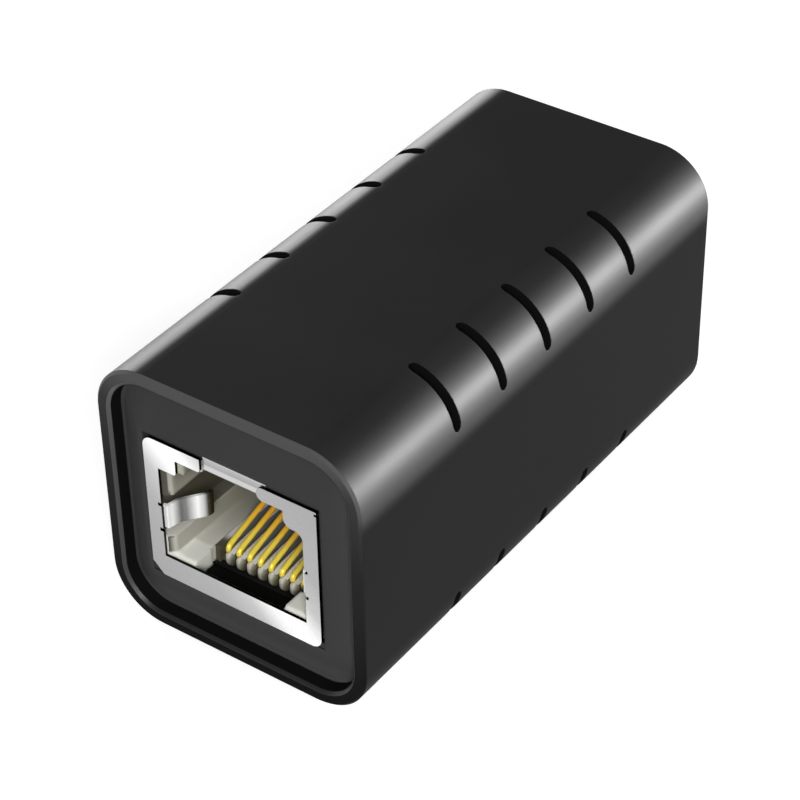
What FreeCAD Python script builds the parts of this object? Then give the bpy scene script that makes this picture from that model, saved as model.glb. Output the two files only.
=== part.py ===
import FreeCAD, Part
import math
import os

# RJ45 inline coupler: two shielded jacks back to back on one board, in a square sleeve.
# Frame: X across, Y along the sleeve with the front end at -Y, Z up, origin under the middle.
# A depth is a distance behind the front end; the rear end is the front end turned half round.
# All sizes are in millimetres.

# Sleeve
SLEEVE_WIDTH = 24.0
SLEEVE_HEIGHT = 24.0
SLEEVE_LENGTH = 48.0
CORNER_RADIUS = 4.6
CAVITY_WALL = 2.0
RIM_WALL = 1.2
RIM_CHAMFER = 0.2
MOUTH_CHAMFER = 0.25

# Cooling slots, cut square through each long corner edge
SLOTS_PER_CORNER = 5
SLOT_PITCH = 6.0
SLOT_WIDTH = 0.95
SLOT_REACH = 4.3
SLOT_TIP_CHORDS = 4

# Floor ribs that carry the board, rooted in the floor
RIB_THICK = 1.0
RIB_HEIGHT = 2.15
RIB_SPACING = 10.0
RIB_ROOT = 1.0

# Bezel: a plate on the ledge in the mouth, which rises to the jack and has a sill under its front
BEZEL_RECESS = 1.3
BEZEL_THICK = 1.6
BEZEL_CLEARANCE = 0.05
BEZEL_SHOULDER = 0.3
WINDOW_CLEARANCE = 0.12
CREST_WALL = 0.5
CREST_RISE = 0.9
CREST_CHORDS = 5
SILL_GAP = 0.05

# Circuit board
BOARD_CLEARANCE = 0.5
BOARD_THICK = 1.6
BOARD_SETBACK = 3.0
BOARD_CORNER = 1.0
PIN_HOLE = 0.7

# Jack shield, folded from one sheet
JACK_WIDTH = 15.9
JACK_DEPTH = 16.0
JACK_INSET = 0.2
JACK_HEIGHT = 12.55
SHEET = 0.25
FOLD_RADIUS = 0.9
PLATE_DROP = 0.5
PLATE_CORNER = 0.9
PLATE_CHAMFER = 1.0
PLATE_NOTCH = 0.2

# Opening in the shield's front plate, measured from the jack's foot
OPENING_FLOOR = 1.5
OPENING_WIDTH = 13.3
FIRST_STEP = 9.95
SECOND_STEP = 11.35
SECOND_WIDTH = 9.9
LATCH_GAP = 5.2
STEP_ROUND = 0.75
SHARP_ROUND = 0.25
GAP_ROUND = 0.55

# Lip over the latch gap, a hem curled down from the top of the shield
LIP_SLIT = 0.15
LIP_LAP = 0.7
LIP_RISE = 0.25
LIP_DROP = 0.95
LIP_ROUND = 0.15
LIP_CLEARANCE = 0.05

# Ground spring fingers at the sides of the opening: root, knee, bend and tip from the edge inwards
FINGER_FLOOR = 4.15
FINGER_HEIGHT = 2.15
FINGER_NOTCH = 0.3
FINGER_ROOT = 0.35
FINGER_ROOT_RADIUS = 0.1
FINGER_KNEE = 0.6
FINGER_KNEE_DEPTH = 1.15
FINGER_KNEE_RADIUS = 1.2
FINGER_REACH = 1.95
FINGER_BEND_DEPTH = 2.9
FINGER_BEND_RADIUS = 0.7
FINGER_TIP_DEPTH = 3.45

# Solder legs of the shield
LEG_WIDTH = 1.5
LEG_DEPTH = 9.5
LEG_BELOW_BOARD = 0.7
LEG_TIP_CHAMFER = 0.35
LEG_CLEARANCE = 0.1

# Housing and its plug cavity
HOUSING_CLEARANCE = 0.05
PLUG_WIDTH = 12.0
PLUG_DEPTH = 13.2
PLUG_CEILING = 9.6
LATCH_CEILING = 11.25
LATCH_WIDTH = 9.6
LATCH_DEPTH = 8.0
CENTRE_CEILING = 11.75
LEAD_IN = 0.5
LIP_POCKET_SIDE = 0.3
LIP_POCKET_BELOW = 0.1
SEAT_LIP = 0.15
SEAT_LIP_DEPTH = 2.7
FINGER_POCKET_DEPTH = 8.5
FINGER_POCKET_WIDTH = 1.2
FINGER_POCKET_MARGIN = 0.9
PEG_DIAMETER = 1.5
PEG_SPACING = 12.7
PEG_DEPTH = 7.0
PEG_LENGTH = 2.3

# Contact carrier: a comb of fins with a groove for each wire, between two cheeks
CONTACTS = 8
CONTACT_PITCH = 1.02
CARRIER_SIDE = 0.27
CARRIER_DEPTH = 3.3
CARRIER_BASE = 0.3
CARRIER_GAP = 0.05
CARRIER_TOP = 1.45
CHEEK_THICK = 0.43
NOSE_GAP = 0.16
NOSE_THICK = 0.3
NOSE_BROW = 0.75
NOSE_TOP = 1.0
NOSE_FLAT = 0.18
NOSE_CHORDS = 3
NOSE_CHAMFER = 0.1
GROOVE_MOUTH = 0.54
GROOVE_WIDTH = 0.72
GROOVE_TAPER_DEPTH = 6.0
FIN_SLOPE = 10.0
COMB_DEPTH = 11.2
COMB_TOP = 4.6
COMB_WEB = 0.35

# Contact wires, of a square section with bevelled corners
WIRE = 0.44
WIRE_SEAT = 0.02
WIRE_NOSE_DEPTH = 3.65
WIRE_BEND = 0.44
WIRE_SLOPE = 15.5
WIRE_END_DEPTH = 11.9
WIRE_LEG_DEPTH = 10.2
WIRE_LEG_STAGGER = 2.5
WIRE_LEG_BEND = 0.2
WIRE_BELOW_BOARD = 0.9
WIRE_NOSE_CHORDS = 5

# Small holes and wires have this many sides, cutters overshoot by this much, and lengths agree to this
ROUND_SIDES = 8
CUT_MARGIN = 1.0
TOUCH = 1e-6

# Heights and places worked out from the sizes above
AXIS_Z = SLEEVE_HEIGHT / 2
BOARD_BOTTOM = CAVITY_WALL + RIB_HEIGHT
JACK_FOOT = BOARD_BOTTOM + BOARD_THICK
JACK_TOP = JACK_FOOT + JACK_HEIGHT
PLATE_FOOT = JACK_FOOT - PLATE_DROP
PLATE_BACK = JACK_INSET + SHEET
JACK_BACK = JACK_INSET + JACK_DEPTH
BEZEL_BACK = BEZEL_RECESS + BEZEL_THICK
BOARD_HALF = SLEEVE_WIDTH / 2 - CAVITY_WALL - BOARD_CLEARANCE
CARRIER_HALF = CONTACTS * CONTACT_PITCH / 2 + CARRIER_SIDE
CARRIER_BACK = JACK_INSET + PLUG_DEPTH
GROOVE_FLOOR = JACK_FOOT + CARRIER_BASE
WIRE_RUN_Z = GROOVE_FLOOR + WIRE / 2 + WIRE_SEAT


def vector(x, y, z):
    return FreeCAD.Vector(x, y, z)


def block(x0, x1, y0, y1, z0, z1):
    return Part.makeBox(x1 - x0, y1 - y0, z1 - z0, vector(x0, y0, z0))


def contact_places():
    return [(i - (CONTACTS - 1) / 2) * CONTACT_PITCH for i in range(CONTACTS)]


def straight_edges(shape, axis):
    """The shape's edges that run along one axis only, "x", "y" or "z"."""
    chosen = []
    for edge in shape.Edges:
        box = edge.BoundBox
        length = {"x": box.XLength, "y": box.YLength, "z": box.ZLength}
        others = [length[other] for other in length if other != axis]
        if length[axis] > TOUCH and max(others) < TOUCH:
            chosen.append(edge)
    return chosen


def bent_wire(corners, closed=False):
    """A wire through (point, radius) corners: straight runs joined by tangent arcs."""
    points = [point for point, radius in corners]
    count = len(points)
    joints = []
    for i, (point, radius) in enumerate(corners):
        if radius == 0:
            joints.append((point, None, point))
            continue
        before = (points[i - 1] - point).normalize()
        after = (points[(i + 1) % count] - point).normalize()
        half = before.getAngle(after) / 2
        reach = radius / math.tan(half)
        middle = point + (before + after).normalize() * (radius / math.sin(half) - radius)
        joints.append((point + before * reach, middle, point + after * reach))
    edges = []
    for i, (enter, middle, leave) in enumerate(joints):
        if middle is not None:
            edges.append(Part.Arc(enter, middle, leave).toShape())
        if i < count - 1 or closed:
            following = joints[(i + 1) % count][0]
            if leave.distanceToPoint(following) > TOUCH:
                edges.append(Part.LineSegment(leave, following).toShape())
    return Part.Wire(Part.__sortEdges__(edges))


def plate(corners, direction):
    """A solid between a closed outline and its copy, moved by the direction."""
    return Part.Face(bent_wire(corners, closed=True)).extrude(direction)


def around(centre, across, up, width):
    """A regular outline of ROUND_SIDES sides, width across its flats, as a closed wire."""
    step = 2 * math.pi / ROUND_SIDES
    reach = width / 2 / math.cos(step / 2)
    turns = [(i + 0.5) * step for i in range(ROUND_SIDES)]
    points = [centre + across * (reach * math.cos(turn)) + up * (reach * math.sin(turn))
              for turn in turns]
    return Part.makePolygon(points + points[:1])


def post(x, y, z0, z1, width):
    """A small upright post or hole, with flats instead of a round."""
    outline = around(vector(x, y, z0), vector(1, 0, 0), vector(0, 1, 0), width)
    return Part.Face(outline).extrude(vector(0, 0, z1 - z0))


def square_bar(width, height, radius, y0, y1):
    """A bar along Y with rounded corners, centred on the sleeve's axis."""
    bar = block(-width / 2, width / 2, y0, y1, AXIS_Z - height / 2, AXIS_Z + height / 2)
    return bar.makeFillet(radius, straight_edges(bar, "y"))


def end_edges(shape, y, half_width):
    """Edges of the end face at y that lie on its outline or its mouth."""
    chosen = []
    for edge in shape.Edges:
        box = edge.BoundBox
        middle = max(abs(box.XMin), abs(box.XMax), abs(box.ZMin - AXIS_Z), abs(box.ZMax - AXIS_Z))
        flat = abs(box.YMin - y) < TOUCH and abs(box.YMax - y) < TOUCH
        if flat and abs(middle - half_width) < TOUCH:
            chosen.append(edge)
    return chosen


def slot_cutter(y, side, level):
    """A round-ended bar that passes square through one corner edge of the sleeve."""
    diagonal = vector(side, 0, level).normalize()
    along = vector(side, 0, -level).normalize()
    corner = vector(side * SLEEVE_WIDTH / 2, y, AXIS_Z + level * SLEEVE_HEIGHT / 2)
    half_run = SLOT_REACH / math.sqrt(2) - SLOT_WIDTH / 2
    points = []
    for end in (1, -1):
        for i in range(SLOT_TIP_CHORDS + 1):
            turn = math.pi * i / SLOT_TIP_CHORDS
            reach = half_run + math.sin(turn) * SLOT_WIDTH / 2
            points.append(corner + along * (end * reach)
                          - vector(0, end * math.cos(turn) * SLOT_WIDTH / 2, 0))
    through = SLOT_REACH / math.sqrt(2) + CAVITY_WALL * math.sqrt(2) + SLOT_WIDTH
    return Part.Face(Part.makePolygon(points + points[:1])).extrude(diagonal * -through)


def sleeve():
    """The outer tube: counterbored mouths, corner slots and floor ribs."""
    tube = square_bar(SLEEVE_WIDTH, SLEEVE_HEIGHT, CORNER_RADIUS, 0, SLEEVE_LENGTH)
    rim = end_edges(tube, 0, SLEEVE_WIDTH / 2) + end_edges(tube, SLEEVE_LENGTH, SLEEVE_WIDTH / 2)
    tube = tube.makeChamfer(RIM_CHAMFER, rim)
    cavity = square_bar(SLEEVE_WIDTH - 2 * CAVITY_WALL, SLEEVE_HEIGHT - 2 * CAVITY_WALL,
                        CORNER_RADIUS - CAVITY_WALL, 0, SLEEVE_LENGTH)
    tube = tube.cut(cavity)
    for y0, y1 in ((0, BEZEL_BACK), (SLEEVE_LENGTH - BEZEL_BACK, SLEEVE_LENGTH)):
        mouth = square_bar(SLEEVE_WIDTH - 2 * RIM_WALL, SLEEVE_HEIGHT - 2 * RIM_WALL,
                           CORNER_RADIUS - RIM_WALL, y0, y1)
        tube = tube.cut(mouth)
    inner = SLEEVE_WIDTH / 2 - RIM_WALL
    lips = end_edges(tube, 0, inner) + end_edges(tube, SLEEVE_LENGTH, inner)
    tube = tube.makeChamfer(MOUTH_CHAMFER, lips)
    cutters = []
    for i in range(SLOTS_PER_CORNER):
        y = SLEEVE_LENGTH / 2 + (i - (SLOTS_PER_CORNER - 1) / 2) * SLOT_PITCH
        cutters += [slot_cutter(y, side, level) for side in (-1, 1) for level in (-1, 1)]
    tube = tube.cut(Part.makeCompound(cutters))
    for side in (-1, 1):
        x0 = side * RIB_SPACING / 2 - RIB_THICK / 2
        rib = block(x0, x0 + RIB_THICK, BEZEL_BACK, SLEEVE_LENGTH - BEZEL_BACK,
                    CAVITY_WALL - RIB_ROOT, BOARD_BOTTOM)
        tube = tube.fuse(rib)
    return tube.removeSplitter()


def chorded_outline(y, half, z0, z1, radius):
    """Points of an outline across the sleeve, each of its round corners a few chords."""
    centres = [(half - radius, z1 - radius), (radius - half, z1 - radius),
               (radius - half, z0 + radius), (half - radius, z0 + radius)]
    points = []
    for quarter, (x, z) in enumerate(centres):
        for i in range(CREST_CHORDS + 1):
            turn = math.pi / 2 * (quarter + i / CREST_CHORDS)
            points.append(vector(x + radius * math.cos(turn), y, z + radius * math.sin(turn)))
    return points


def frustum(front, back):
    """The solid between two outlines of as many points, with a flat side between each two."""
    outlines = [front, back]
    for i in range(len(front)):
        outlines.append([front[i - 1], front[i], back[i], back[i - 1]])
    faces = [Part.Face(Part.makePolygon(points + points[:1])) for points in outlines]
    return Part.Solid(Part.Shell(faces))


def bezel():
    """The plate in the mouth: its face rises from a shoulder to a crest round the jack."""
    width = SLEEVE_WIDTH - 2 * (RIM_WALL + BEZEL_CLEARANCE)
    height = SLEEVE_HEIGHT - 2 * (RIM_WALL + BEZEL_CLEARANCE)
    radius = CORNER_RADIUS - RIM_WALL - BEZEL_CLEARANCE
    front = BEZEL_RECESS - CREST_RISE
    half = JACK_WIDTH / 2 + WINDOW_CLEARANCE
    bottom = PLATE_FOOT - WINDOW_CLEARANCE
    top = JACK_TOP + WINDOW_CLEARANCE
    crest = chorded_outline(front, half + CREST_WALL, bottom - CREST_WALL, top + CREST_WALL,
                            PLATE_CORNER)
    rise = height / 2 - BEZEL_SHOULDER
    shoulder = chorded_outline(BEZEL_RECESS, width / 2 - BEZEL_SHOULDER, AXIS_Z - rise,
                               AXIS_Z + rise, radius - BEZEL_SHOULDER)
    body = square_bar(width, height, radius, BEZEL_RECESS, BEZEL_BACK)
    body = body.fuse(frustum(crest, shoulder))
    window = block(-half, half, front - CUT_MARGIN, PLATE_BACK + SILL_GAP, bottom, top)
    passage = block(-half, half, PLATE_BACK, BEZEL_BACK + CUT_MARGIN, JACK_FOOT - SILL_GAP, top)
    lip_way = block(LIP_SLIT - LATCH_GAP / 2 - LIP_CLEARANCE, lip_end() + LIP_CLEARANCE,
                    front - CUT_MARGIN, PLATE_BACK + SHEET + LIP_CLEARANCE,
                    bottom, JACK_TOP + LIP_RISE + LIP_CLEARANCE)
    return body.cut([window, passage, lip_way]).removeSplitter()


def leg_span():
    return JACK_INSET + LEG_DEPTH - LEG_WIDTH / 2, JACK_INSET + LEG_DEPTH + LEG_WIDTH / 2


def front_plate():
    """The shield's front: one C-shaped outline, open at the top over the latch gap."""
    half = JACK_WIDTH / 2
    opening = OPENING_WIDTH / 2
    second = SECOND_WIDTH / 2
    gap = LATCH_GAP / 2
    floor = JACK_FOOT + OPENING_FLOOR
    step1 = JACK_FOOT + FIRST_STEP
    step2 = JACK_FOOT + SECOND_STEP
    notch = PLATE_NOTCH
    outline = [
        (gap, JACK_TOP, GAP_ROUND), (half, JACK_TOP, 0),
        (half, JACK_TOP - notch, 0), (half - notch, JACK_TOP - notch, 0),
        (half - notch, JACK_TOP - 2 * notch, 0), (half, JACK_TOP - 2 * notch, 0),
        (half, PLATE_FOOT, PLATE_CORNER), (PLATE_CHAMFER - half, PLATE_FOOT, 0),
        (-half, PLATE_FOOT + PLATE_CHAMFER, 0), (-half, JACK_TOP, PLATE_CORNER),
        (-gap, JACK_TOP, 0), (-gap, step2, SHARP_ROUND), (-second, step2, 0),
        (-second, step1, SHARP_ROUND), (-opening, step1, 0), (-opening, floor, 0),
        (opening, floor, 0), (opening, step1, STEP_ROUND), (second, step1, STEP_ROUND),
        (second, step2, 0), (gap, step2, GAP_ROUND),
    ]
    corners = [(vector(x, JACK_INSET, z), radius) for x, z, radius in outline]
    sheet = plate(corners, vector(0, SHEET, 0))
    bottom = JACK_FOOT + FINGER_FLOOR
    for side in (-1, 1):
        for z0 in (bottom - FINGER_NOTCH, bottom + FINGER_HEIGHT):
            x0, x1 = sorted((side * (opening - SHEET), side * (opening + FINGER_NOTCH)))
            sheet = sheet.cut(block(x0, x1, JACK_INSET, PLATE_BACK, z0, z0 + FINGER_NOTCH))
    return sheet


def folded_block(half, y0, y1, top, radius):
    """A block that stands on the jack's foot, its two upper long edges rounded."""
    solid = block(-half, half, y0, y1, JACK_FOOT, top)
    folds = [edge for edge in straight_edges(solid, "y") if edge.BoundBox.ZMin > JACK_FOOT]
    return solid.makeFillet(radius, folds)


def lip():
    """The hem over the latch gap, rounded along its upper edge."""
    crown = JACK_TOP + LIP_RISE
    solid = block(LIP_SLIT - LATCH_GAP / 2, lip_end(), PLATE_BACK, PLATE_BACK + SHEET,
                  JACK_TOP - LIP_DROP, crown)
    curl = [edge for edge in straight_edges(solid, "x")
            if edge.BoundBox.YMax < PLATE_BACK + TOUCH and edge.BoundBox.ZMin > crown - TOUCH]
    return solid.makeFillet(LIP_ROUND, curl)


def lip_end():
    """How far across the lip reaches, behind the plate at the right of the latch gap."""
    return LATCH_GAP / 2 + LIP_LAP


def spring_finger():
    """The strip bent in from the +X side of the opening, its tip turned back along the plug."""
    opening = OPENING_WIDTH / 2
    places = [
        (-SHEET, 0, 0),
        (FINGER_ROOT, 0, FINGER_ROOT_RADIUS),
        (FINGER_KNEE, FINGER_KNEE_DEPTH, FINGER_KNEE_RADIUS),
        (FINGER_REACH, FINGER_BEND_DEPTH, FINGER_BEND_RADIUS),
        (FINGER_REACH, FINGER_TIP_DEPTH, 0),
    ]
    path = bent_wire([(vector(opening - inward, PLATE_BACK + back, JACK_FOOT + FINGER_FLOOR), radius)
                      for inward, back, radius in places])
    band = path.makeOffset2D(SHEET, 0, True, True, False)
    return band.extrude(vector(0, 0, FINGER_HEIGHT))


def jack_shield():
    """The folded sheet: front plate, top, sides and seamed back flap, open underneath."""
    half = JACK_WIDTH / 2
    skin = folded_block(half, PLATE_BACK, JACK_BACK, JACK_TOP, FOLD_RADIUS)
    hollow = folded_block(half - SHEET, PLATE_BACK, JACK_BACK - SHEET, JACK_TOP - SHEET,
                          FOLD_RADIUS - SHEET)
    relief = PLATE_CHAMFER - PLATE_DROP + SHEET
    corners = block(-half, half, PLATE_BACK, PLATE_BACK + relief, JACK_FOOT, JACK_FOOT + relief)
    slit = block(-LATCH_GAP / 2, lip_end(), PLATE_BACK, PLATE_BACK + SHEET, JACK_TOP - SHEET, JACK_TOP)
    shield = skin.cut([hollow, corners, slit])
    shield = shield.fuse([front_plate(), lip()])
    leg_start, leg_end = leg_span()
    for side in (-1, 1):
        x0, x1 = sorted((side * half, side * (half - SHEET)))
        leg = block(x0, x1, leg_start, leg_end, BOARD_BOTTOM - LEG_BELOW_BOARD, JACK_FOOT)
        tip_edges = [e for e in straight_edges(leg, "x") if e.BoundBox.ZMax < BOARD_BOTTOM]
        leg = leg.makeChamfer(LEG_TIP_CHAMFER, tip_edges)
        shield = shield.fuse(leg)
    finger = spring_finger()
    shield = shield.fuse([finger, finger.mirror(vector(0, 0, 0), vector(1, 0, 0))])
    return shield.removeSplitter()


def cavity_section(depth, margin):
    """The stepped outline of the plug cavity at one depth, as a closed wire."""
    half = PLUG_WIDTH / 2 + margin
    latch = LATCH_WIDTH / 2 + margin
    gap = LATCH_GAP / 2
    floor = JACK_FOOT + OPENING_FLOOR - margin
    outline = [
        (-half, floor), (half, floor),
        (half, JACK_FOOT + PLUG_CEILING + margin), (latch, JACK_FOOT + PLUG_CEILING + margin),
        (latch, JACK_FOOT + LATCH_CEILING), (gap, JACK_FOOT + LATCH_CEILING),
        (gap, JACK_FOOT + CENTRE_CEILING), (-gap, JACK_FOOT + CENTRE_CEILING),
        (-gap, JACK_FOOT + LATCH_CEILING), (-latch, JACK_FOOT + LATCH_CEILING),
        (-latch, JACK_FOOT + PLUG_CEILING + margin), (-half, JACK_FOOT + PLUG_CEILING + margin),
    ]
    points = [vector(x, depth, z) for x, z in outline]
    return Part.makePolygon(points + points[:1])


def jack_housing():
    """The moulded block behind the shield's plate, with the plug cavity and its pockets."""
    half = JACK_WIDTH / 2 - SHEET - HOUSING_CLEARANCE
    top = JACK_TOP - SHEET - HOUSING_CLEARANCE
    back = JACK_BACK - SHEET - HOUSING_CLEARANCE
    body = folded_block(half, PLATE_BACK, back, top, FOLD_RADIUS - SHEET - HOUSING_CLEARANCE)
    lead = Part.makeLoft([cavity_section(PLATE_BACK, LEAD_IN),
                          cavity_section(PLATE_BACK + LEAD_IN, 0)], True)
    latch_end = JACK_INSET + LATCH_DEPTH
    cavity = Part.Face(cavity_section(PLATE_BACK, 0)).extrude(vector(0, LATCH_DEPTH, 0))
    deep = block(-PLUG_WIDTH / 2, PLUG_WIDTH / 2, latch_end, CARRIER_BACK,
                 JACK_FOOT + OPENING_FLOOR, JACK_FOOT + PLUG_CEILING)
    mouth_half = CARRIER_HALF - SEAT_LIP
    mouth = block(-mouth_half, mouth_half, PLATE_BACK, SEAT_LIP_DEPTH,
                  JACK_FOOT, JACK_FOOT + OPENING_FLOOR)
    seat_half = CARRIER_HALF + CARRIER_GAP
    seat = block(-seat_half, seat_half, SEAT_LIP_DEPTH, CARRIER_BACK + CARRIER_GAP,
                 JACK_FOOT, JACK_FOOT + OPENING_FLOOR)
    pocket_half = lip_end() + LIP_POCKET_SIDE
    lip_pocket = block(-pocket_half, pocket_half, PLATE_BACK,
                       PLATE_BACK + SHEET + 2 * HOUSING_CLEARANCE,
                       JACK_TOP - LIP_DROP - LIP_POCKET_BELOW, top)
    body = body.cut([lead, cavity, deep, mouth, seat, lip_pocket])
    z0 = JACK_FOOT + FINGER_FLOOR - FINGER_POCKET_MARGIN
    z1 = JACK_FOOT + FINGER_FLOOR + FINGER_HEIGHT + FINGER_POCKET_MARGIN
    for side in (-1, 1):
        wall = side * PLUG_WIDTH / 2
        x0, x1 = sorted((wall, wall + side * FINGER_POCKET_WIDTH))
        body = body.cut(block(x0, x1, PLATE_BACK, FINGER_POCKET_DEPTH, z0, z1))
        body = body.fuse(post(side * PEG_SPACING / 2, PEG_DEPTH, JACK_FOOT - PEG_LENGTH, JACK_FOOT,
                              PEG_DIAMETER))
    return body.removeSplitter()


def wire_height(depth):
    """Height of the centre of a contact's free arm at a depth."""
    slope = math.radians(WIRE_SLOPE)
    centre = WIRE_NOSE_DEPTH + WIRE / 2 + WIRE_BEND
    start = centre - WIRE_BEND * math.sin(slope)
    start_z = WIRE_RUN_Z + WIRE_BEND + WIRE_BEND * math.cos(slope)
    return start_z + (depth - start) * math.tan(slope)


def comb_plate(x, thick, front):
    """A plate of the comb with its middle at x: the front outline, then the tall guide behind."""
    outline = front + [
        (COMB_DEPTH, front[-1][1]), (COMB_DEPTH, COMB_TOP), (CARRIER_BACK, COMB_TOP),
        (CARRIER_BACK, 0),
    ]
    corners = [(vector(x - thick / 2, y, JACK_FOOT + rise), 0) for y, rise in outline]
    return plate(corners, vector(thick, 0, 0))


def fin(x):
    """One fin, its top sloping up under the wires from the nose, its sides drawing in."""
    nose_back = CARRIER_DEPTH + NOSE_THICK
    flat_depth = nose_back + (CARRIER_TOP - NOSE_TOP) / math.tan(math.radians(FIN_SLOPE))
    wide = CONTACT_PITCH - GROOVE_MOUTH
    narrow = CONTACT_PITCH - GROOVE_WIDTH
    slab = comb_plate(x, wide, [
        (nose_back, 0), (nose_back, NOSE_TOP), (flat_depth, CARRIER_TOP),
    ])
    plan = []
    for side in (-1, 1):
        places = [(wide, nose_back), (narrow, GROOVE_TAPER_DEPTH), (narrow, CARRIER_BACK)]
        plan += [(vector(x + side * thick / 2, y, JACK_FOOT), 0) for thick, y in places[::-side]]
    return slab.common(plate(plan, vector(0, 0, COMB_TOP)))


def nose(x):
    """The wide front of a fin: its top slopes back, its lower corners and front edges are eased."""
    half = (CONTACT_PITCH - NOSE_GAP) / 2
    corner = half - NOSE_FLAT / 2
    outline = [(half, NOSE_TOP), (-half, NOSE_TOP)]
    for side in (-1, 1):
        for i in range(NOSE_CHORDS + 1):
            turn = math.pi / 2 * (i if side < 0 else NOSE_CHORDS - i) / NOSE_CHORDS
            outline.append((side * (NOSE_FLAT / 2 + corner * math.cos(turn)),
                            corner - corner * math.sin(turn)))
    corners = [(vector(x + across, CARRIER_DEPTH, JACK_FOOT + rise), 0) for across, rise in outline]
    solid = plate(corners, vector(0, NOSE_THICK, 0))
    brow = [(vector(x - half, y, JACK_FOOT + rise), 0) for y, rise in (
        (CARRIER_DEPTH, NOSE_BROW), (CARRIER_DEPTH + NOSE_THICK, NOSE_TOP), (CARRIER_DEPTH, NOSE_TOP))]
    solid = solid.cut(plate(brow, vector(2 * half, 0, 0)))
    front = [edge for edge in solid.Edges if edge.BoundBox.YMax < CARRIER_DEPTH + TOUCH]
    return solid.makeChamfer(NOSE_CHAMFER, front)


def cheek(side):
    """The side of the comb, flush with the cavity's floor."""
    return comb_plate(side * (CARRIER_HALF - CHEEK_THICK / 2), CHEEK_THICK, [
        (CARRIER_DEPTH, 0), (CARRIER_DEPTH, OPENING_FLOOR),
    ])


def contact_carrier():
    """The comb: a fin with a nose between each two wires, and two cheeks, on a thin base."""
    between = [x + CONTACT_PITCH / 2 for x in contact_places()[:-1]]
    teeth = [fin(x) for x in between] + [nose(x) for x in between] + [cheek(-1), cheek(1)]
    base = block(-CARRIER_HALF, CARRIER_HALF, CARRIER_DEPTH + NOSE_THICK, CARRIER_BACK,
                 JACK_FOOT, GROOVE_FLOOR)
    web = block(-CARRIER_HALF, CARRIER_HALF, CARRIER_BACK - COMB_WEB, CARRIER_BACK,
                JACK_FOOT, JACK_FOOT + OPENING_FLOOR)
    comb = base.fuse(teeth + [web])
    for i, x in enumerate(contact_places()):
        comb = comb.cut(pin_hole(x, i, JACK_FOOT, GROOVE_FLOOR))
    return comb.removeSplitter()


def leg_depth(index):
    return WIRE_LEG_DEPTH + WIRE_LEG_STAGGER * (index % 2)


def pin_hole(x, index, z0, z1):
    return post(x, leg_depth(index), z0, z1, PIN_HOLE)


def contact(index):
    """One wire: leg up through the board, forward run, nose bend, sloping free arm."""
    x = contact_places()[index]
    depth = leg_depth(index)
    foot = vector(x, depth, BOARD_BOTTOM - WIRE_BELOW_BOARD)
    points = [foot, vector(x, depth, WIRE_RUN_Z - WIRE_LEG_BEND),
              vector(x, depth - WIRE_LEG_BEND, WIRE_RUN_Z)]
    centre = WIRE_NOSE_DEPTH + WIRE / 2 + WIRE_BEND
    for i in range(WIRE_NOSE_CHORDS + 1):
        turn = math.radians(180 - WIRE_SLOPE) * i / WIRE_NOSE_CHORDS
        points.append(vector(x, centre - WIRE_BEND * math.sin(turn),
                             WIRE_RUN_Z + WIRE_BEND * (1 - math.cos(turn))))
    points.append(vector(x, WIRE_END_DEPTH, wire_height(WIRE_END_DEPTH)))
    section = around(foot, vector(1, 0, 0), vector(0, 1, 0), WIRE)
    mitred_corners = 1
    return Part.makePolygon(points).makePipeShell([section], True, False, mitred_corners)


def circuit_board():
    """The board under both jacks, drilled and slotted for everything that stands in it."""
    board = block(-BOARD_HALF, BOARD_HALF, BOARD_SETBACK, SLEEVE_LENGTH - BOARD_SETBACK,
                  BOARD_BOTTOM, JACK_FOOT)
    board = board.makeFillet(BOARD_CORNER, straight_edges(board, "z"))
    holes = [pin_hole(x, i, BOARD_BOTTOM, JACK_FOOT) for i, x in enumerate(contact_places())]
    leg_start, leg_end = leg_span()
    for side in (-1, 1):
        holes.append(post(side * PEG_SPACING / 2, PEG_DEPTH, BOARD_BOTTOM, JACK_FOOT,
                          PEG_DIAMETER + 2 * LEG_CLEARANCE))
        outer = side * (JACK_WIDTH / 2 + LEG_CLEARANCE)
        inner = side * (JACK_WIDTH / 2 - SHEET - LEG_CLEARANCE)
        x0, x1 = sorted((outer, inner))
        holes.append(block(x0, x1, leg_start - LEG_CLEARANCE, leg_end + LEG_CLEARANCE,
                           BOARD_BOTTOM, JACK_FOOT))
    pattern = Part.makeCompound(holes)
    return board.cut([pattern, turned_round(pattern)])


def turned_round(shape):
    """The same shape at the rear end: half a turn about the middle of the sleeve."""
    return shape.rotated(vector(0, SLEEVE_LENGTH / 2, 0), vector(0, 0, 1), 180)


def end_parts():
    """Every piece of the front end, by name."""
    parts = {
        "bezel": bezel(),
        "jack_shield": jack_shield(),
        "jack_housing": jack_housing(),
        "contact_carrier": contact_carrier(),
    }
    for i in range(CONTACTS):
        parts["contact_%d" % (i + 1)] = contact(i)
    return parts


def main():
    os.makedirs("parts", exist_ok=True)
    nodes = {"sleeve": sleeve(), "circuit_board": circuit_board()}
    for name, shape in end_parts().items():
        nodes["front_" + name] = shape
        nodes["rear_" + name] = turned_round(shape)
    to_frame = vector(0, -SLEEVE_LENGTH / 2, 0)
    for name, shape in nodes.items():
        solid = shape.Solids[0] if len(shape.Solids) == 1 else shape
        placed = solid.translated(to_frame)
        placed.exportStep("parts/%s.step" % name)
        print("%-24s solids %d valid %s volume %9.3f" % (
            name, len(placed.Solids), placed.isValid(), placed.Volume))


main()
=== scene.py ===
import bpy
import math
from mathutils import Matrix, Vector


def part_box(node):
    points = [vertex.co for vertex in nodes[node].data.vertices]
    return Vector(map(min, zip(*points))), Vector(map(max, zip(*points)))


# Looks of the RJ45 inline coupler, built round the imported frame. Places on the pieces are in
# millimetres, and what Blender itself is given is in metres.

MM = 0.001

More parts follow.
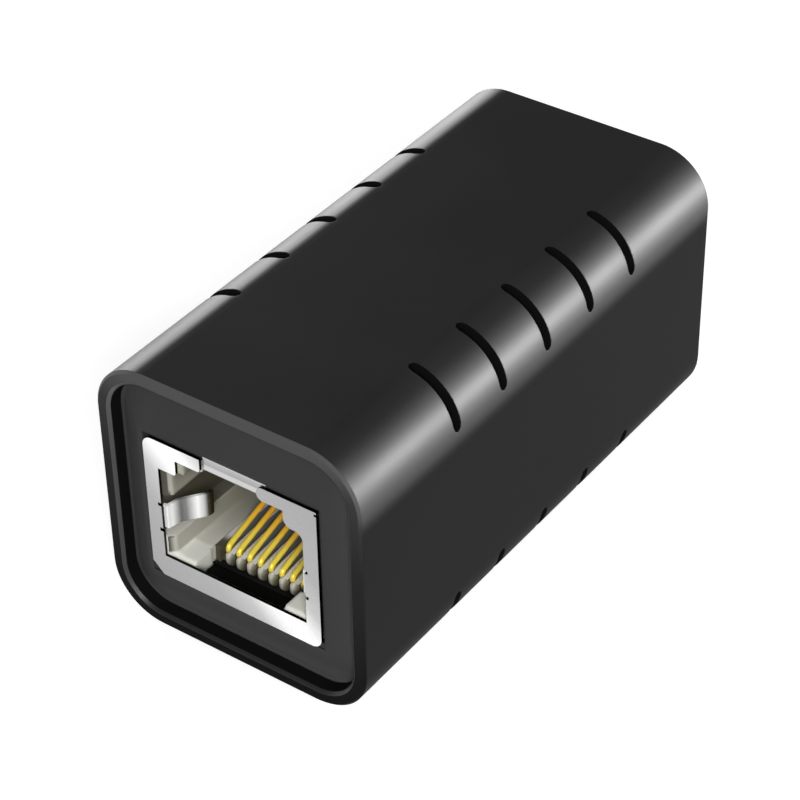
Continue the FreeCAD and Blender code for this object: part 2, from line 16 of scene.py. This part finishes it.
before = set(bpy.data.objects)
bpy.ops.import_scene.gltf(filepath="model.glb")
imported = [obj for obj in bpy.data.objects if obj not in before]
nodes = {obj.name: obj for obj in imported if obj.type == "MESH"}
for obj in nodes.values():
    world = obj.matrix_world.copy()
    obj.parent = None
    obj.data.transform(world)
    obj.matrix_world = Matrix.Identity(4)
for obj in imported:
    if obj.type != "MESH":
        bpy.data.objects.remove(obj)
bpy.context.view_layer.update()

ENDS = ("front", "rear")
CONTACTS = 8

# Camera, fitted to the sleeve's outline in the photograph
CAMERA_PLACE = Vector((95.14, -133.28, 135.19)) * MM
CAMERA_FORWARD = Vector((-0.4673, 0.6420, -0.6078))
CAMERA_RIGHT = Vector((0.8151, 0.5792, -0.0150))
CAMERA_LENS = 116.8
CAMERA_SENSOR = 36.0
CAMERA_NEAREST = 10 * MM

# Floor, a hair below the underside so that the two don't share a plane
FLOOR_SIZE = 6.0
FLOOR_GAP = 0.02 * MM
FLOOR_TONE = 0.6
FLOOR_GLOW = 0.6

# Surroundings: their strength, and how far up a ray looks, from 0 to 1, where their white band
# starts and where it is full
SKY_LEVEL = 0.25
SKY_BAND = (0.35, 0.06)

# Lamps: name, direction from the coupler's middle, width and height in metres, and watts
LAMP_DISTANCE = 0.6
LAMPS = (
    ("behind_right", (0.75, 0.64, 0.08), (0.2, 0.09), 4.5),
    ("behind_left", (-0.76, 0.62, 0.15), (0.2, 0.17), 1.4),
    ("front_fill", (0.50, -0.68, 0.53), (0.2, 0.2), 3.2),
)

# Meshes: the angle from which an edge stays sharp, and how the wires are welded and rounded
SHARP_ANGLE = math.radians(35)
WELD_REACH = 0.001 * MM
WIRE_ROUNDING = 2

# Places read from the frame. Depths are from the coupler's nearer end, heights are from its
# underside, and a reach is the distance from its middle plane, to either side.
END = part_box("sleeve")[1].y / MM
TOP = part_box("sleeve")[1].z / MM
MIDDLE = TOP / 2
BEZEL_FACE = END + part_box("front_bezel")[0].y / MM
PLATE_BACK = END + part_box("front_jack_housing")[0].y / MM
LIP_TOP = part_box("front_jack_shield")[1].z / MM
COMB_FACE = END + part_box("front_contact_carrier")[0].y / MM
COMB_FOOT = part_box("front_contact_carrier")[0].z / MM
PITCH = (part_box("front_contact_2")[0].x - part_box("front_contact_1")[0].x) / MM

# Every pair of heights, depths, reaches or turns below says where a mask starts and where it is
# full. A mask goes from 0 to 1. A turn is how far a face looks along an axis, also from 0 to 1.
MASK = (0.0, 1.0)
UPWARDS = (0.5, 0.7)

# A tone is a grey or a colour. Patches are bumps of a soft noise in a metre, and these are the
# parts of that noise over which tones and roughness change. A grain is the radius that edges seem
# rounded to, the bumps in a metre and the height of a bump.
TONE_LIMITS = (0.3, 0.7)
ROUGH_LIMITS = (0.2, 0.8)
PATCH_DETAIL = 3.0
GRAIN_DETAIL = 2.0
BEVEL_SAMPLES = 4

# The colour sockets of the mix node, which has others of the same names for numbers and vectors
MIX_FIRST, MIX_SECOND, MIX_RESULT = 6, 7, 2

# Sleeve: the rim is painted light, its tones going from its foot to its top. The side faces are
# painted darker than the top, a painted shade, and the slots and hollow are painted black as shade.
# The two upper corners and the bevel inside the mouth are glossy.
SLEEVE_PATCHES = 90.0
SLEEVE_TOP_TONES = (0.0175, 0.021)
SLEEVE_SIDE_SHADE_TONES = (0.009, 0.0105)
SLEEVE_RIM_PAINTED_LIGHT = (
    (0.0, 0.003), (0.15, 0.006), (0.35, 0.012),
    (0.6, 0.017), (0.86, 0.036), (0.97, 0.075),
)
SLEEVE_RECESS_SHADE_TONE = 0.006
SLEEVE_SIDE_TURN = (0.4, 1.0)
END_TURN = (0.3, 0.6)
RIM_DEPTH = (0.9, 0.5)
SLOT_DEPTH = (6.0, 8.0)
HOLLOW_OUTWARDS = (-1.0, -3.0)
HOLLOW_TURN = (0.5, 0.3)
RIGHT_CORNER_TURN = (0.34, 0.78)
LEFT_CORNER_TURN = (-0.04, -0.30)
CORNER_RISE = (5.6, 9.0)
BEVEL_TURN = (0.2, 0.45)
SLEEVE_SPECULAR = (0.02, 0.6)
SLEEVE_ROUGHNESS = (0.0, 0.04)
BEVEL_ROUGHNESS = (0.48, 0.38)
SLEEVE_GRAIN = {"edge": 0.12, "scale": 9000.0, "height": 0.003}

# Bezel: painted light next to the floor and the sides, where the mouth's walls shade it, and
# painted shade in black on the sill of its window
BEZEL_PATCHES = 120.0
BEZEL_TONES = (0.033, 0.038)
BEZEL_PAINTED_LIGHT_TONE = 0.066
BEZEL_SILL_SHADE_TONE = 0.003
BEZEL_LOW_HEIGHT = (4.2, 1.6)
BEZEL_SIDE_REACH = (8.6, 10.8)
BEZEL_SIDE_SHARE = (0.0, 0.35)
BEZEL_SILL_DEPTH = (BEZEL_FACE + 0.02, BEZEL_FACE + 0.04)
BEZEL_SILL_HEIGHT = (7.4, 7.2)
BEZEL_ROUGHNESS = (0.55, 0.65)
BEZEL_SPECULAR = 0.08
BEZEL_GRAIN = {"edge": 0.25, "scale": 12000.0, "height": 0.004}

# Shield: the painted sheen goes by the distance from a diagonal of the plate, the lip's painted
# reflection bands by height and the fingers' by depth, and the cut edges are painted dark as shade.
# The fingers' tones hold their painted reflections, so they have no metallic part.
SHIELD_PATCHES = 260.0
SHIELD_TONES = (0.97, 1.0)
SHEEN_TONES = ((0.0, 1.0), (0.1, 0.95), (0.27, 0.57), (0.5, 0.43), (1.0, 0.38))
SHEEN_SPAN = (0.0, 14.0)
LIP_REFLECTION_TONES = ((0.0, 0.30), (0.08, 0.62), (0.38, 0.60), (0.46, 0.36), (0.85, 0.45), (1.0, 0.75))
LIP_SPAN = (LIP_TOP - 1.2, LIP_TOP)
LIP_HEIGHT = (LIP_TOP - 1.35, LIP_TOP - 1.25)
FINGER_REFLECTION_TONES = (
    (0.0, 0.8), (0.14, 0.95), (0.34, 0.15), (0.44, 0.18),
    (0.64, 0.98), (0.74, 0.60), (0.82, 0.05), (0.90, 0.004),
)
FINGER_SPAN = (0.4, 3.95)
FINGER_REACH = (6.75, 6.7)
FINGER_HEIGHT = (13.0, 12.8)
BEHIND_PLATE = (PLATE_BACK - 0.03, PLATE_BACK + 0.01)
CUT_DEPTH = (PLATE_BACK + 0.01, PLATE_BACK - 0.01)
CUT_TURN = (0.6, 0.4)
CUT_SHADE_TONE = 0.01
FINGER_METAL = (1.0, 0.0)
SHIELD_ROUGHNESS = (0.24, 0.30)
SHIELD_EDGE = 0.04

# Housing: painted shade towards the back and the ceiling, on the walls, in the finger pockets and at
# the mouth's side edges, and painted light on the front of the floor. A share is the most of a tone
# that is taken.
HOUSING_PATCHES = 200.0
HOUSING_TONES = ((0.60, 0.59, 0.52), (0.66, 0.65, 0.58))
HOUSING_BACK_SHADE_TONE = (0.20, 0.195, 0.155)
HOUSING_BACK_DEPTH = (1.0, 10.0)
CEILING_SHADE_TONE = (0.10, 0.092, 0.065)
CEILING_SHARE = 0.9
CEILING_HEIGHT = (11.0, 15.5)
CEILING_DEPTH = (0.3, 1.6)
WALL_SHADE_TONE = (0.22, 0.215, 0.17)
WALL_SHARE = 0.5
WALL_TURN = (0.3, 0.7)
CAVITY_FLOOR = (7.3, 7.6)
POCKET_SHADE_TONE = (0.035, 0.030, 0.016)
POCKET_SHARE = 0.88
POCKET_REACH = (6.1, 6.2)
POCKET_TOP = (13.6, 13.0)
POCKET_FOOT = (8.7, 9.1)
SILL_DEPTH = (3.2, 4.4)
EDGE_SHADE_TONE = (0.05, 0.048, 0.035)
EDGE_REACH = (6.1, 6.5)
EDGE_DEPTH = (1.0, 0.9)
RING_TURN = (0.5, 0.7)
RING_HEIGHT = (9.3, 9.6)
RING_REACH = (6.2, 6.3)
BLOCK_LIGHT_TONE = (0.74, 0.74, 0.68)
BLOCK_DEPTH = (3.2, 2.8)
HOUSING_ROUGHNESS = (0.45, 0.55)
HOUSING_SPECULAR = 0.4
HOUSING_GRAIN = {"edge": 0.35, "scale": 7000.0, "height": 0.002}

# Comb: painted shade in the grey grooves, across the noses from left to right and towards their
# feet, and on the dark outer ribs
COMB_PATCHES = 200.0
COMB_TONES = ((0.58, 0.57, 0.56), (0.64, 0.63, 0.62))
GROOVE_SHADE_TONE = (0.17, 0.18, 0.17)
GROOVE_TURN = (0.6, 0.8)
GROOVE_HEIGHT = (6.5, 6.2)
GROOVE_DEPTH = (COMB_FACE + 0.3, COMB_FACE + 0.4)
NOSE_SHADE_TONES = (
    (0.1, (0.40, 0.36, 0.28)), (0.38, (0.66, 0.63, 0.55)),
    (0.62, (0.26, 0.245, 0.17)), (0.85, (0.09, 0.085, 0.05)),
)
NOSE_DEPTH = (COMB_FACE + 0.36, COMB_FACE + 0.3)
NOSE_FOOT_SHADE_TONES = ((0.0, (0.16, 0.15, 0.10)), (0.45, 0.6), (1.0, 1.0))
NOSE_FOOT_SPAN = (COMB_FOOT, COMB_FOOT + 1.0)
OUTER_SHADE_TONE = (0.075, 0.07, 0.042)
OUTER_REACH = (3.7, 3.75)
OUTER_DEPTH = (5.0, 4.0)
COMB_ROUGHNESS = (0.42, 0.5)
COMB_SPECULAR = 0.4
COMB_GRAIN = {"edge": 0.1, "scale": 7000.0, "height": 0.002}

# Wires: deep gold in the port, and a painted highlight in pale yellow at the bends over the noses
GOLD_PATCHES = 300.0
GOLD_DETAIL = 2.0
GOLD_TONES = ((0.92, 0.40, 0.015), (0.97, 0.45, 0.02))
GOLD_HIGHLIGHT_TONE = (1.0, 0.79, 0.09)
GOLD_HIGHLIGHT_DEPTH = (9.0, 4.2)
GOLD_METAL = 0.2
GOLD_ROUGHNESS = (0.28, 0.32)

# Board: black solder resist
BOARD_PATCHES = 300.0
BOARD_TONES = (0.004, 0.007)
BOARD_ROUGHNESS = (0.4, 0.5)
BOARD_SPECULAR = 0.2
BOARD_GRAIN = {"edge": 0.05, "scale": 5000.0, "height": 0.004}


def rgba(tone):
    """The four values of a colour, or of a grey that is given as one number."""
    return (*tone, 1.0) if isinstance(tone, tuple) else (tone, tone, tone, 1.0)


class Wiring:
    """A node tree under construction. Its helpers take numbers and outputs alike."""

    def __init__(self, tree):
        self.tree = tree
        tree.nodes.clear()

    def add(self, kind, **values):
        """A node with its properties set, and its inputs where a value names one."""
        node = self.tree.nodes.new(kind)
        for key, value in values.items():
            if key in node.inputs:
                node.inputs[key].default_value = value
            else:
                setattr(node, key, value)
        return node

    def put(self, socket, value):
        """Sets an input to a number, or feeds it from an output."""
        if isinstance(value, (int, float)):
            socket.default_value = value
        else:
            self.tree.links.new(value, socket)

    def parts(self, source):
        """The X, Y and Z of a vector."""
        node = self.add("ShaderNodeSeparateXYZ")
        self.tree.links.new(source, node.inputs[0])
        return node.outputs

    def math(self, operation, first, second=0.0):
        node = self.add("ShaderNodeMath", operation=operation)
        self.put(node.inputs[0], first)
        self.put(node.inputs[1], second)
        return node.outputs[0]

    def size(self, value):
        return self.math("ABSOLUTE", value)

    def every(self, first, *others):
        """The product of values; of masks, where all of them are."""
        for other in others:
            first = self.math("MULTIPLY", first, other)
        return first

    def most(self, first, *others):
        """The greatest of values; of masks, where any of them is."""
        for other in others:
            first = self.math("MAXIMUM", first, other)
        return first

    def between(self, value, limits, results=MASK, smooth=True):
        """Carries the span between two limits, smoothly or straight, to the span of the results."""
        style = "SMOOTHSTEP" if smooth else "LINEAR"
        node = self.add("ShaderNodeMapRange", interpolation_type=style)
        self.put(node.inputs["Value"], value)
        node.inputs["From Min"].default_value, node.inputs["From Max"].default_value = limits
        node.inputs["To Min"].default_value, node.inputs["To Max"].default_value = results
        return node.outputs["Result"]

    def seen(self):
        """1 for the camera's own rays and those it sends through a reflection or glass, else 0."""
        rays = self.add("ShaderNodeLightPath").outputs
        return self.most(rays["Is Camera Ray"], rays["Is Glossy Ray"], rays["Is Transmission Ray"])


class Shading(Wiring):
    """A material under construction, with the place of a point on its piece in millimetres."""

    def __init__(self, name):
        self.material = bpy.data.materials.new(name)
        self.material.use_nodes = True
        super().__init__(self.material.node_tree)
        output = self.add("ShaderNodeOutputMaterial")
        self.shader = self.add("ShaderNodeBsdfPrincipled")
        self.tree.links.new(self.shader.outputs["BSDF"], output.inputs["Surface"])
        place = self.add("ShaderNodeTexCoord")
        self.place = place.outputs["Object"]
        self.x, self.y, self.z = (self.math("DIVIDE", part, MM) for part in self.parts(self.place))
        self.nx, self.ny, self.nz = self.parts(place.outputs["Normal"])
        self.side_turn = self.size(self.nx)
        self.end_turn = self.size(self.ny)
        self.reach = self.size(self.x)
        self.depth = self.math("SUBTRACT", END, self.size(self.y))
        self.rise = self.math("SUBTRACT", self.z, MIDDLE)

    def right(self):
        """How far a place is to the right of the middle plane, seen from outside its own end."""
        return self.every(self.x, self.math("SIGN", self.y), -1.0)

    def noise(self, scale, detail=PATCH_DETAIL):
        """Noise in the object's own coordinates; scale is in bumps per metre."""
        texture = self.add("ShaderNodeTexNoise", Scale=scale, Detail=detail)
        self.tree.links.new(self.place, texture.inputs["Vector"])
        return texture.outputs["Fac"]

    def ramp(self, source, stops):
        """A colour ramp fed by a value; stops are (position, tone) pairs."""
        node = self.add("ShaderNodeValToRGB")
        elements = node.color_ramp.elements
        while len(elements) < len(stops):
            elements.new(0.5)
        for element, (position, tone) in zip(elements, stops):
            element.position = position
            element.color = rgba(tone)
        self.tree.links.new(source, node.inputs["Fac"])
        return node.outputs["Color"]

    def ramp_over(self, source, span, stops):
        """A colour ramp that a span of a value runs along."""
        return self.ramp(self.between(source, span, smooth=False), stops)

    def mottled(self, patches, tones):
        """Two tones in soft patches."""
        return self.ramp(patches, tuple(zip(TONE_LIMITS, tones)))

    def paint(self, socket, value):
        """Sets a colour input to a tone, or feeds it from an output."""
        if isinstance(value, (float, tuple)):
            socket.default_value = rgba(value)
        else:
            self.tree.links.new(value, socket)

    def blend(self, share, first, second, kind="MIX"):
        """The first tone where share is 0 and the second where it is 1."""
        node = self.add("ShaderNodeMix", data_type="RGBA", blend_type=kind)
        self.put(node.inputs["Factor"], share)
        self.paint(node.inputs[MIX_FIRST], first)
        self.paint(node.inputs[MIX_SECOND], second)
        return node.outputs[MIX_RESULT]

    def product(self, first, second):
        """Two tones multiplied."""
        return self.blend(1.0, first, second, "MULTIPLY")

    def colour(self, value):
        self.paint(self.shader.inputs["Base Color"], value)

    def set(self, socket, value):
        self.put(self.shader.inputs[socket], value)

    def rough(self, patches, roughness):
        """Roughness in soft patches, between two values."""
        self.set("Roughness", self.between(patches, ROUGH_LIMITS, roughness))

    def surface(self, edge, scale=None, height=0.0):
        """Edges that shade as if rounded to a radius, under a fine grain of a real height."""
        rounded = self.add("ShaderNodeBevel", samples=BEVEL_SAMPLES, Radius=edge * MM)
        normal = rounded.outputs["Normal"]
        if scale is not None:
            bump = self.add("ShaderNodeBump", Strength=1.0, Distance=height * MM)
            self.tree.links.new(self.noise(scale, GRAIN_DETAIL), bump.inputs["Height"])
            self.tree.links.new(normal, bump.inputs["Normal"])
            normal = bump.outputs["Normal"]
        self.tree.links.new(normal, self.shader.inputs["Normal"])


def sleeve_black():
    """Satin black plastic: dull faces, glossy corners above, painted shade on the sides and in black in its
    slots and hollow, and painted light on the rim.
    """
    look = Shading("sleeve_black")
    patches = look.noise(SLEEVE_PATCHES)
    top = look.mottled(patches, SLEEVE_TOP_TONES)
    side = look.mottled(patches, SLEEVE_SIDE_SHADE_TONES)
    # The side faces are painted darker than the top: painted shade.
    base = look.blend(look.between(look.side_turn, SLEEVE_SIDE_TURN), top, side)
    endwards = look.between(look.end_turn, END_TURN)
    # Painted light: the rim is pale at its top and near black at its foot.
    rim_light = look.ramp_over(look.z, (0.0, TOP), SLEEVE_RIM_PAINTED_LIGHT)
    base = look.blend(look.every(endwards, look.between(look.depth, RIM_DEPTH)), base, rim_light)
    slot_wall = look.every(endwards, look.between(look.depth, SLOT_DEPTH))
    # Below zero where a face looks towards the coupler's long axis
    outwards = look.math("ADD", look.every(look.nx, look.x), look.every(look.nz, look.rise))
    inwards = look.between(outwards, HOLLOW_OUTWARDS)
    hollow = look.every(inwards, look.between(look.end_turn, HOLLOW_TURN))
    # Painted shade: the slot walls and the hollow inside the mouth are made black.
    recess_shade = look.most(slot_wall, hollow)
    look.colour(look.blend(recess_shade, base, SLEEVE_RECESS_SHADE_TONE))
    corner = look.most(look.between(look.nx, RIGHT_CORNER_TURN), look.between(look.nx, LEFT_CORNER_TURN))
    corner = look.every(corner, look.between(look.rise, CORNER_RISE))
    # A bevel looks both to a side and to the end
    slant = look.size(look.every(look.most(look.side_turn, look.size(look.nz)), look.ny))
    bevel = look.every(inwards, look.between(slant, BEVEL_TURN))
    glossy = look.every(look.most(corner, bevel), look.math("SUBTRACT", 1.0, recess_shade))
    look.set("Specular IOR Level", look.between(glossy, MASK, SLEEVE_SPECULAR))
    roughness = look.between(patches, ROUGH_LIMITS, SLEEVE_ROUGHNESS)
    look.set("Roughness", look.math("ADD", roughness, look.between(bevel, MASK, BEVEL_ROUGHNESS)))
    look.surface(**SLEEVE_GRAIN)
    return look.material


def bezel_grey():
    """Matte dark grey plastic with a fine even grain, painted lighter next to the floor and the sides and
    painted black as shade on its sill.
    """
    look = Shading("bezel_grey")
    patches = look.noise(BEZEL_PATCHES)
    # Painted light: the bezel is made paler next to the floor and the sides, where the mouth's walls shade
    # it.
    painted_light = look.most(look.between(look.z, BEZEL_LOW_HEIGHT),
                     look.between(look.reach, BEZEL_SIDE_REACH, BEZEL_SIDE_SHARE))
    base = look.blend(painted_light, look.mottled(patches, BEZEL_TONES), BEZEL_PAINTED_LIGHT_TONE)
    # Painted shade: the sill of the window, in the well under the jack, is made black.
    sill = look.every(look.between(look.depth, BEZEL_SILL_DEPTH), look.between(look.z, BEZEL_SILL_HEIGHT),
                      look.between(look.nz, UPWARDS))
    look.colour(look.blend(sill, base, BEZEL_SILL_SHADE_TONE))
    look.rough(patches, BEZEL_ROUGHNESS)
    look.set("Specular IOR Level", BEZEL_SPECULAR)
    look.surface(**BEZEL_GRAIN)
    return look.material


def nickel_sheet():
    """Bright plated sheet with painted reflections: a diagonal sheen on the plate and bands on lip and
    fingers, and cut edges painted dark as shade.
    """
    look = Shading("nickel_sheet")
    patches = look.noise(SHIELD_PATCHES)
    # Painted reflection: a sheen that goes by the distance from a diagonal of the plate.
    across = look.size(look.math("ADD", look.rise, look.right()))
    base = look.ramp_over(across, SHEEN_SPAN, SHEEN_TONES)
    base = look.product(base, look.mottled(patches, SHIELD_TONES))
    behind = look.between(look.depth, BEHIND_PLATE)
    # Painted reflection and shade: bands across the lip by height.
    lip = look.every(behind, look.between(look.z, LIP_HEIGHT))
    base = look.blend(lip, base, look.ramp_over(look.z, LIP_SPAN, LIP_REFLECTION_TONES))
    # Painted reflection and shade: bands along the fingers by depth.
    finger = look.every(behind, look.between(look.reach, FINGER_REACH), look.between(look.z, FINGER_HEIGHT))
    base = look.blend(finger, base, look.ramp_over(look.depth, FINGER_SPAN, FINGER_REFLECTION_TONES))
    # Painted shade: the cut edges of the sheet are made dark.
    cut_shade = look.every(look.between(look.end_turn, CUT_TURN), look.between(look.depth, CUT_DEPTH))
    look.colour(look.blend(cut_shade, base, CUT_SHADE_TONE))
    look.set("Metallic", look.between(finger, MASK, FINGER_METAL))
    look.rough(patches, SHIELD_ROUGHNESS)
    look.surface(SHIELD_EDGE)
    return look.material


def housing_ivory():
    """Ivory plastic with painted shade, darker and browner where light hardly gets into the plug cavity,
    and painted light on the front of the floor.
    """
    look = Shading("housing_ivory")
    patches = look.noise(HOUSING_PATCHES)
    base = look.mottled(patches, HOUSING_TONES)
    # Painted shade: darker and browner towards the back of the cavity.
    base = look.blend(look.between(look.depth, HOUSING_BACK_DEPTH), base, HOUSING_BACK_SHADE_TONE)
    # Painted shade on the ceiling near the mouth.
    ceiling = look.every(look.between(look.z, CEILING_HEIGHT), look.between(look.depth, CEILING_DEPTH))
    base = look.blend(look.every(ceiling, CEILING_SHARE), base, CEILING_SHADE_TONE)
    # Painted shade on the side walls above the cavity floor.
    wall = look.every(look.between(look.side_turn, WALL_TURN), look.between(look.z, CAVITY_FLOOR))
    base = look.blend(look.every(wall, WALL_SHARE), base, WALL_SHADE_TONE)
    # Painted shade in the finger pockets.
    sill = look.every(look.between(look.nz, UPWARDS), look.between(look.depth, SILL_DEPTH))
    pocket = look.every(look.between(look.reach, POCKET_REACH), look.between(look.z, POCKET_TOP),
                        look.between(look.z, POCKET_FOOT), look.most(wall, sill))
    base = look.blend(look.every(pocket, POCKET_SHARE), base, POCKET_SHADE_TONE)
    # Painted shade at the mouth's side edges near the front.
    side = look.every(look.between(look.reach, EDGE_REACH), wall)
    ring = look.every(look.between(look.end_turn, RING_TURN), look.between(look.z, RING_HEIGHT),
                      look.between(look.reach, RING_REACH))
    edge = look.every(look.most(side, ring), look.between(look.depth, EDGE_DEPTH))
    base = look.blend(edge, base, EDGE_SHADE_TONE)
    # Painted light: the front of the cavity floor is made pale.
    block = look.every(look.between(look.depth, BLOCK_DEPTH), look.between(look.z, CAVITY_FLOOR[::-1]))
    look.colour(look.blend(block, base, BLOCK_LIGHT_TONE))
    look.rough(patches, HOUSING_ROUGHNESS)
    look.set("Specular IOR Level", HOUSING_SPECULAR)
    look.surface(**HOUSING_GRAIN)
    return look.material


def comb_ivory():
    """Ivory plastic of the comb that the wires lie in, with painted shade in its grooves, on its noses and
    on its outer ribs.
    """
    look = Shading("comb_ivory")
    patches = look.noise(COMB_PATCHES)
    # Painted shade: the grooves between the wires are made grey.
    groove = look.most(look.between(look.side_turn, GROOVE_TURN), look.between(look.z, GROOVE_HEIGHT))
    groove = look.every(groove, look.between(look.depth, GROOVE_DEPTH))
    base = look.blend(groove, look.mottled(patches, COMB_TONES), GROOVE_SHADE_TONE)
    # Each nose lies between two wires, and the middle plane is half-way between two wires as well
    from_left = look.math("ADD", look.right(), (CONTACTS + 0.5) * PITCH)
    across_nose = look.math("FRACT", look.math("DIVIDE", from_left, PITCH))
    # Painted light and shade across each nose, pale to the left and dark to the right.
    shade = look.ramp(across_nose, NOSE_SHADE_TONES)
    # Painted shade towards the feet of the noses.
    foot = look.ramp_over(look.z, NOSE_FOOT_SPAN, NOSE_FOOT_SHADE_TONES)
    base = look.blend(look.between(look.depth, NOSE_DEPTH), base, look.product(shade, foot))
    # Painted shade: the outer ribs at the comb's front are made dark.
    outer = look.every(look.between(look.reach, OUTER_REACH), look.between(look.depth, OUTER_DEPTH))
    look.colour(look.blend(outer, base, OUTER_SHADE_TONE))
    look.rough(patches, COMB_ROUGHNESS)
    look.set("Specular IOR Level", COMB_SPECULAR)
    look.surface(**COMB_GRAIN)
    return look.material


def gold_plate():
    """Polished gold plate, with a painted highlight at the bends over the noses."""
    look = Shading("gold_plate")
    patches = look.noise(GOLD_PATCHES, GOLD_DETAIL)
    deep = look.mottled(patches, GOLD_TONES)
    # Painted highlight: the wires are pale yellow at the bends over the noses.
    look.colour(look.blend(look.between(look.depth, GOLD_HIGHLIGHT_DEPTH), deep, GOLD_HIGHLIGHT_TONE))
    look.set("Metallic", GOLD_METAL)
    look.rough(patches, GOLD_ROUGHNESS)
    return look.material


def board_black():
    """Black solder resist."""
    look = Shading("board_black")
    patches = look.noise(BOARD_PATCHES)
    look.colour(look.mottled(patches, BOARD_TONES))
    look.rough(patches, BOARD_ROUGHNESS)
    look.set("Specular IOR Level", BOARD_SPECULAR)
    look.surface(**BOARD_GRAIN)
    return look.material


def dress(names, material):
    for name in names:
        mesh = nodes[name].data
        mesh.materials.clear()
        mesh.materials.append(material)


def each_end(piece):
    return ["%s_%s" % (end, piece) for end in ENDS]


def contact_names():
    return ["%s_contact_%d" % (end, i + 1) for end in ENDS for i in range(CONTACTS)]


def finishes():
    """One procedural material for each kind of piece."""
    dress(["sleeve"], sleeve_black())
    dress(each_end("bezel"), bezel_grey())
    dress(each_end("jack_shield"), nickel_sheet())
    dress(each_end("jack_housing"), housing_ivory())
    dress(each_end("contact_carrier"), comb_ivory())
    dress(contact_names(), gold_plate())
    dress(["circuit_board"], board_black())


def smooth_shading():
    """Round faces shade smoothly, and the edges between flat faces stay sharp."""
    for node in nodes.values():
        node.data.shade_smooth()
        node.data.set_sharp_from_angle(angle=SHARP_ANGLE)


def round_wires():
    """The eight-sided wires become round ones with rounded ends."""
    for name in contact_names():
        weld = nodes[name].modifiers.new("weld", "WELD")
        weld.merge_threshold = WELD_REACH
        rounding = nodes[name].modifiers.new("rounding", "SUBSURF")
        rounding.levels = WIRE_ROUNDING
        rounding.render_levels = WIRE_ROUNDING


def ground():
    """The pale floor; where the camera or a reflection sees it, a little glow lifts it to white."""
    bpy.ops.mesh.primitive_plane_add(size=FLOOR_SIZE, location=(0, 0, -FLOOR_GAP))
    floor = bpy.context.object
    floor.name = "floor"
    look = Shading("floor_white")
    look.colour(FLOOR_TONE)
    look.set("Roughness", 1.0)
    look.set("Specular IOR Level", 0.0)
    look.paint(look.shader.inputs["Emission Color"], 1.0)
    look.set("Emission Strength", look.every(look.seen(), FLOOR_GLOW))
    floor.data.materials.append(look.material)


def area_light(name, direction, size, watts):
    """A soft box that looks at the coupler's middle from a direction."""
    data = bpy.data.lights.new(name, "AREA")
    data.shape = "RECTANGLE"
    data.size, data.size_y = size
    data.energy = watts
    lamp = bpy.data.objects.new(name, data)
    away = Vector(direction).normalized()
    lamp.location = Vector((0, 0, MIDDLE * MM)) + away * LAMP_DISTANCE
    lamp.rotation_euler = away.to_track_quat("Z", "Y").to_euler()
    bpy.context.scene.collection.objects.link(lamp)


def surroundings():
    """Even pale light from all round; where it is seen, a white band low down meets the floor."""
    world = bpy.data.worlds.new("studio")
    bpy.context.scene.world = world
    world.use_nodes = True
    sky = Wiring(world.node_tree)
    output = sky.add("ShaderNodeOutputWorld")
    background = sky.add("ShaderNodeBackground", Color=rgba(1.0))
    sky.tree.links.new(background.outputs["Background"], output.inputs["Surface"])
    height = sky.parts(sky.add("ShaderNodeTexCoord").outputs["Generated"])["Z"]
    band = sky.between(height, SKY_BAND, (0.0, 1.0 - SKY_LEVEL))
    sky.put(background.inputs["Strength"], sky.math("ADD", SKY_LEVEL, sky.every(sky.seen(), band)))


def camera():
    """The photograph's view."""
    data = bpy.data.cameras.new("camera")
    data.lens = CAMERA_LENS
    data.sensor_width = CAMERA_SENSOR
    data.clip_start = CAMERA_NEAREST
    body = bpy.data.objects.new("camera", data)
    forward = CAMERA_FORWARD.normalized()
    right = (CAMERA_RIGHT - forward * CAMERA_RIGHT.dot(forward)).normalized()
    up = right.cross(forward)
    turn = Matrix((right, up, -forward)).transposed()
    body.matrix_world = Matrix.Translation(CAMERA_PLACE) @ turn.to_4x4()
    bpy.context.scene.collection.objects.link(body)
    bpy.context.scene.camera = body


finishes()
smooth_shading()
round_wires()
ground()
for lamp in LAMPS:
    area_light(*lamp)
surroundings()
camera()
bpy.context.scene.view_settings.view_transform = "Standard"
